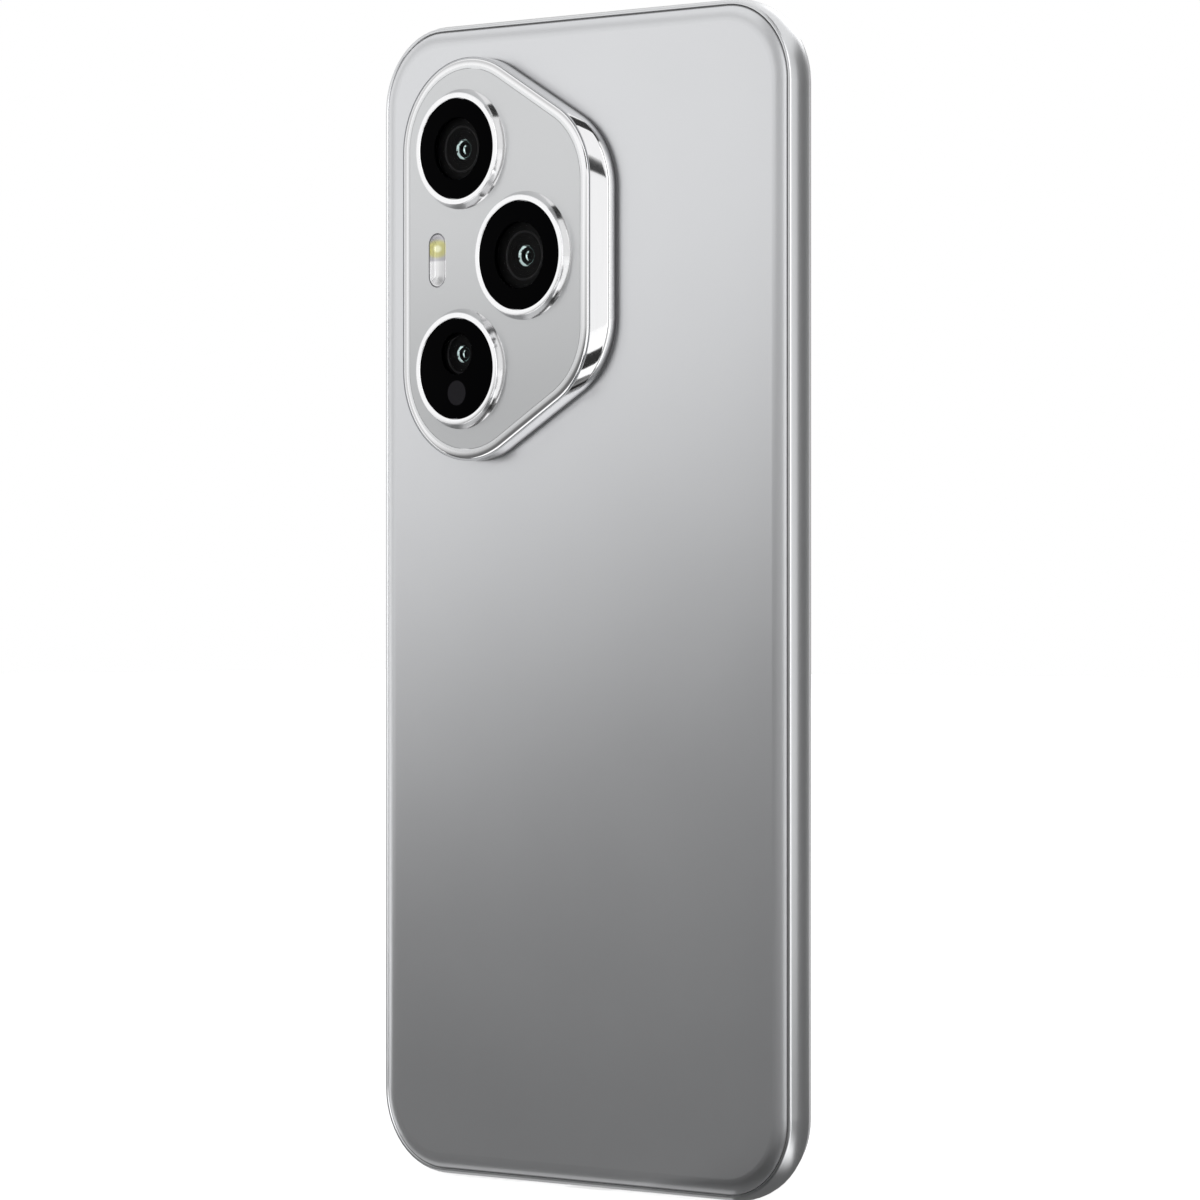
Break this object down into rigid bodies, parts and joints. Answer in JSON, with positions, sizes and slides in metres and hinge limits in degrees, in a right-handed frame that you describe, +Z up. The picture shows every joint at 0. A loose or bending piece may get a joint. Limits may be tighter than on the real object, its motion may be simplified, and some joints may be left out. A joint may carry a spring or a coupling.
{
  "type": "smartphone",
  "caption": "Bar smartphone with curved glass front and back, metal frame, raised camera island, side buttons, USB-C port and SIM tray.",
  "frame": {"origin": "middle of the bottom edge, with the phone standing upright on it", "axes": "+Z up to the top edge, +Y out of the back with the camera island, +X to the right as seen from the display"},
  "size_m": [0.0765, 0.012, 0.1608],
  "materials": {
    "frame_metal": "satin anodised",
    "back_glass": "satin, coated grey inside",
    "front_glass": "gloss, black display behind",
    "lens_glass": "gloss, black masked",
    "polished_metal": "polished",
    "satin_metal": "satin",
    "clear_plastic": "clear",
    "led": "phosphor",
    "sensor": "gloss",
    "glue": "matte",
    "foam": "matte foam",
    "graphite": "dark grey sheet",
    "copper": "copper",
    "black_plastic": "moulded",
    "pouch": "foil pouch",
    "flex": "polyimide",
    "board": "solder mask",
    "tin_steel": "plated",
    "mesh": "fine mesh",
    "seal": "silicone"
  },
  "bodies": {
    "phone": {"mid_frame": "frame_metal", "back_cover": "back_glass", "back_glue": "glue", "display_glass": "front_glass", "clear_adhesive": "clear_plastic", "display_panel": "sensor", "display_cushion": "foam", "graphite_sheet": "graphite", "vapour_chamber": "copper", "display_glue": "glue", "fingerprint_sensor": "sensor", "front_camera": "black_plastic", "camera_bezel": "polished_metal", "camera_plate": "satin_metal", "lens_ring_upper": "polished_metal", "lens_ring_middle": "polished_metal", "lens_ring_lower": "polished_metal", "lens_glass_upper": "lens_glass", "lens_glass_middle": "lens_glass", "lens_glass_lower": "lens_glass", "flash_window": "clear_plastic", "flash_led": "led", "colour_sensor": "sensor", "flash_board": "flex", "camera_upper": "black_plastic", "camera_middle": "black_plastic", "camera_lower": "black_plastic", "battery": "pouch", "battery_flex": "flex", "coil_ferrite": "graphite", "charging_coil": "copper", "main_board": "board", "shield_back": "tin_steel", "shield_front": "tin_steel", "board_cover": "black_plastic", "main_flex": "flex", "sub_board": "board", "usb_port": "tin_steel", "speaker": "black_plastic", "speaker_mesh": "mesh", "earpiece": "black_plastic", "mic_bottom": "tin_steel", "mic_top": "black_plastic", "motor_case": "tin_steel", "button_flex": "flex", "sim_reader": "tin_steel", "screws_top": "tin_steel", "screws_bottom": "tin_steel"},
    "power": {"power_button": "frame_metal"},
    "volume": {"volume_rocker": "frame_metal"},
    "tray": {"sim_tray": "frame_metal", "sim_seal": "seal"},
    "rod": {"eject_rod": "tin_steel"},
    "lever": {"eject_lever": "tin_steel"},
    "mass": {"motor_mass": "tin_steel"},
    "focus_upper": {"barrel_upper": "black_plastic"},
    "focus_middle": {"barrel_middle": "black_plastic"},
    "focus_lower": {"barrel_lower": "black_plastic"}
  },
  "joints": [
    {"name": "power_press", "type": "slide", "parent": "phone", "child": "power", "axis": [-1, 0, 0], "range_m": [0, 0.00025], "stiffness_N_per_m": 400},
    {"name": "volume_rock", "type": "hinge", "parent": "phone", "child": "volume", "pos_m": [0.03485, -0.00052, 0.1103], "axis": [0, -1, 0], "range_deg": [-1.1, 1.1], "stiffness_Nm_per_rad": 0.05},
    {"name": "sim_tray_slide", "type": "slide", "parent": "phone", "child": "tray", "axis": [0, 0, -1], "range_m": [0, 0.02]},
    {"name": "eject_rod_slide", "type": "slide", "parent": "phone", "child": "rod", "axis": [0, 0, 1], "range_m": [0, 0.001]},
    {"name": "eject_lever_turn", "type": "hinge", "parent": "phone", "child": "lever", "pos_m": [-0.0165, -0.00052, 0.0184], "axis": [0, -1, 0], "range_deg": [0, 14.8]},
    {"name": "motor_mass_slide", "type": "slide", "parent": "phone", "child": "mass", "axis": [1, 0, 0], "range_m": [-0.0005, 0.0005], "stiffness_N_per_m": 500},
    {"name": "focus_upper_slide", "type": "slide", "parent": "phone", "child": "focus_upper", "axis": [0, 1, 0], "range_m": [0, 0.0003], "stiffness_N_per_m": 100},
    {"name": "focus_middle_slide", "type": "slide", "parent": "phone", "child": "focus_middle", "axis": [0, 1, 0], "range_m": [0, 0.0003], "stiffness_N_per_m": 100},
    {"name": "focus_lower_slide", "type": "slide", "parent": "phone", "child": "focus_lower", "axis": [0, 1, 0], "range_m": [0, 0.0003], "stiffness_N_per_m": 100}
  ],
  "couplings": [
    {"joint": "eject_lever_turn", "follows": "eject_rod_slide", "rad_per_m": 256.41}
  ]
}
